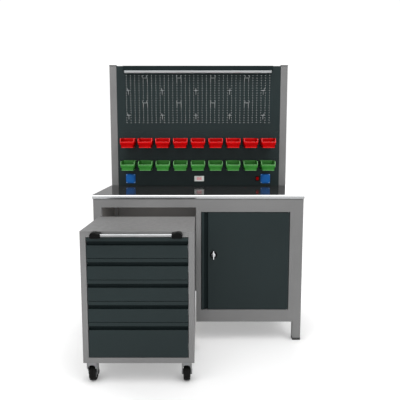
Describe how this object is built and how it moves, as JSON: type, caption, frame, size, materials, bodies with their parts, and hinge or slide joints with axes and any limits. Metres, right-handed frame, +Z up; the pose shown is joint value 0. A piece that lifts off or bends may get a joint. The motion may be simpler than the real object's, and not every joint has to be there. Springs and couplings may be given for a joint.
{
  "type": "workbench with drawer pedestal",
  "caption": "Steel workbench with perforated rear panel, hung bins, lamp and a cupboard with a door, and a drawer pedestal on swivel casters that rolls into its bay.",
  "frame": {"origin": "on the floor, under the middle of the whole object with the pedestal pulled out as pictured", "axes": "+X to the right seen from the front, +Y towards the rear frame, +Z up"},
  "size_m": [1.2, 1.2186, 1.66],
  "materials": {
    "board": "satin",
    "worktop_steel": "glossy",
    "grey_paint": "satin",
    "dark_paint": "satin",
    "black_plastic": "matte",
    "zinc": "satin",
    "red_plastic": "glossy",
    "green_plastic": "glossy",
    "blue_plastic": "glossy",
    "white_plastic": "glossy",
    "lamp_white": "satin",
    "chrome": "polished",
    "silver": "polished",
    "handle_steel": "polished",
    "tread": "matte"
  },
  "bodies": {
    "bench": {"worktop_core": "board", "worktop_skin": "worktop_steel", "legs": "grey_paint", "leg_feet": "black_plastic", "frame_rails": "grey_paint", "rear_panel": "grey_paint", "side_panel": "grey_paint", "cupboard_sides": "grey_paint", "cupboard_floor": "grey_paint", "cupboard_frame": "grey_paint", "cupboard_shelf": "grey_paint", "hinge_pins": "zinc", "uprights": "grey_paint", "upright_caps": "black_plastic", "frame_bolts": "zinc", "peg_panel": "dark_paint", "bin_panel": "dark_paint", "bin_rails": "dark_paint", "red_bins": "red_plastic", "green_bins": "green_plastic", "single_hooks": "chrome", "double_hooks": "chrome", "lamp_hood": "dark_paint", "lamp_body": "lamp_white", "lamp_diffuser": "lamp_white", "socket_bases": "blue_plastic", "data_outlet": "white_plastic", "switch_bezel": "black_plastic"},
    "door": {"door": "dark_paint", "lock_rosette": "black_plastic"},
    "lock": {"lock_turn": "silver"},
    "lid_left": {"socket_lid_left": "blue_plastic"},
    "lid_right": {"socket_lid_right": "blue_plastic"},
    "rocker": {"switch_rocker": "red_plastic"},
    "pedestal": {"trolley_sides": "grey_paint", "trolley_top": "grey_paint", "trolley_base": "grey_paint", "trolley_back": "grey_paint", "drawer_runners": "zinc", "handle_tube": "handle_steel", "handle_brackets": "black_plastic", "caster_plates": "zinc"},
    "drawer_1": {"drawer_1_front": "dark_paint", "drawer_1_tray": "zinc"},
    "drawer_2": {"drawer_2_front": "dark_paint", "drawer_2_tray": "zinc"},
    "drawer_3": {"drawer_3_front": "dark_paint", "drawer_3_tray": "zinc"},
    "drawer_4": {"drawer_4_front": "dark_paint", "drawer_4_tray": "zinc"},
    "drawer_5": {"drawer_5_front": "dark_paint", "drawer_5_tray": "zinc"},
    "swivel_front_left": {"caster_fork_front_left": "zinc"},
    "wheel_front_left": {"caster_wheel_front_left": "tread"},
    "swivel_front_right": {"caster_fork_front_right": "zinc"},
    "wheel_front_right": {"caster_wheel_front_right": "tread"},
    "swivel_rear_left": {"caster_fork_rear_left": "zinc"},
    "wheel_rear_left": {"caster_wheel_rear_left": "tread"},
    "swivel_rear_right": {"caster_fork_rear_right": "zinc"},
    "wheel_rear_right": {"caster_wheel_rear_right": "tread"}
  },
  "joints": [
    {"name": "pedestal_roll", "type": "slide", "parent": "bench", "child": "pedestal", "axis": [0, 1, 0], "range_m": [-0.3, 0.525]},
    {"name": "drawer_1_slide", "type": "slide", "parent": "pedestal", "child": "drawer_1", "axis": [0, -1, 0], "range_m": [0, 0.34]},
    {"name": "drawer_2_slide", "type": "slide", "parent": "pedestal", "child": "drawer_2", "axis": [0, -1, 0], "range_m": [0, 0.34]},
    {"name": "drawer_3_slide", "type": "slide", "parent": "pedestal", "child": "drawer_3", "axis": [0, -1, 0], "range_m": [0, 0.34]},
    {"name": "drawer_4_slide", "type": "slide", "parent": "pedestal", "child": "drawer_4", "axis": [0, -1, 0], "range_m": [0, 0.34]},
    {"name": "drawer_5_slide", "type": "slide", "parent": "pedestal", "child": "drawer_5", "axis": [0, -1, 0], "range_m": [0, 0.34]},
    {"name": "door_hinge", "type": "hinge", "parent": "bench", "child": "door", "pos_m": [0.5135, -0.03475, 0.5095], "axis": [0, 0, 1], "range_deg": [0, 110]},
    {"name": "lock_turn", "type": "hinge", "parent": "door", "child": "lock", "pos_m": [0.087, -0.04025, 0.5095], "axis": [0, 1, 0], "range_deg": [0, 90]},
    {"name": "lid_left_hinge", "type": "hinge", "parent": "bench", "child": "lid_left", "pos_m": [-0.4655, 0.55075, 0.9285], "axis": [-1, 0, 0], "range_deg": [0, 100]},
    {"name": "lid_right_hinge", "type": "hinge", "parent": "bench", "child": "lid_right", "pos_m": [0.4575, 0.55075, 0.9285], "axis": [-1, 0, 0], "range_deg": [0, 100]},
    {"name": "rocker_tilt", "type": "hinge", "parent": "bench", "child": "rocker", "pos_m": [0.403, 0.55975, 0.902], "axis": [1, 0, 0], "range_deg": [-6, 6]},
    {"name": "swivel_front_left", "type": "hinge", "parent": "pedestal", "child": "swivel_front_left", "pos_m": [-0.509, -0.52725, 0.1047], "axis": [0, 0, 1], "continuous": true},
    {"name": "wheel_front_left_spin", "type": "hinge", "parent": "swivel_front_left", "child": "wheel_front_left", "pos_m": [-0.509, -0.50925, 0.04], "axis": [1, 0, 0], "continuous": true},
    {"name": "swivel_front_right", "type": "hinge", "parent": "pedestal", "child": "swivel_front_right", "pos_m": [-0.054, -0.52725, 0.1047], "axis": [0, 0, 1], "continuous": true},
    {"name": "wheel_front_right_spin", "type": "hinge", "parent": "swivel_front_right", "child": "wheel_front_right", "pos_m": [-0.054, -0.50925, 0.04], "axis": [1, 0, 0], "continuous": true},
    {"name": "swivel_rear_left", "type": "hinge", "parent": "pedestal", "child": "swivel_rear_left", "pos_m": [-0.509, -0.16925, 0.1047], "axis": [0, 0, 1], "continuous": true},
    {"name": "wheel_rear_left_spin", "type": "hinge", "parent": "swivel_rear_left", "child": "wheel_rear_left", "pos_m": [-0.509, -0.15125, 0.04], "axis": [1, 0, 0], "continuous": true},
    {"name": "swivel_rear_right", "type": "hinge", "parent": "pedestal", "child": "swivel_rear_right", "pos_m": [-0.054, -0.16925, 0.1047], "axis": [0, 0, 1], "continuous": true},
    {"name": "wheel_rear_right_spin", "type": "hinge", "parent": "swivel_rear_right", "child": "wheel_rear_right", "pos_m": [-0.054, -0.15125, 0.04], "axis": [1, 0, 0], "continuous": true}
  ]
}
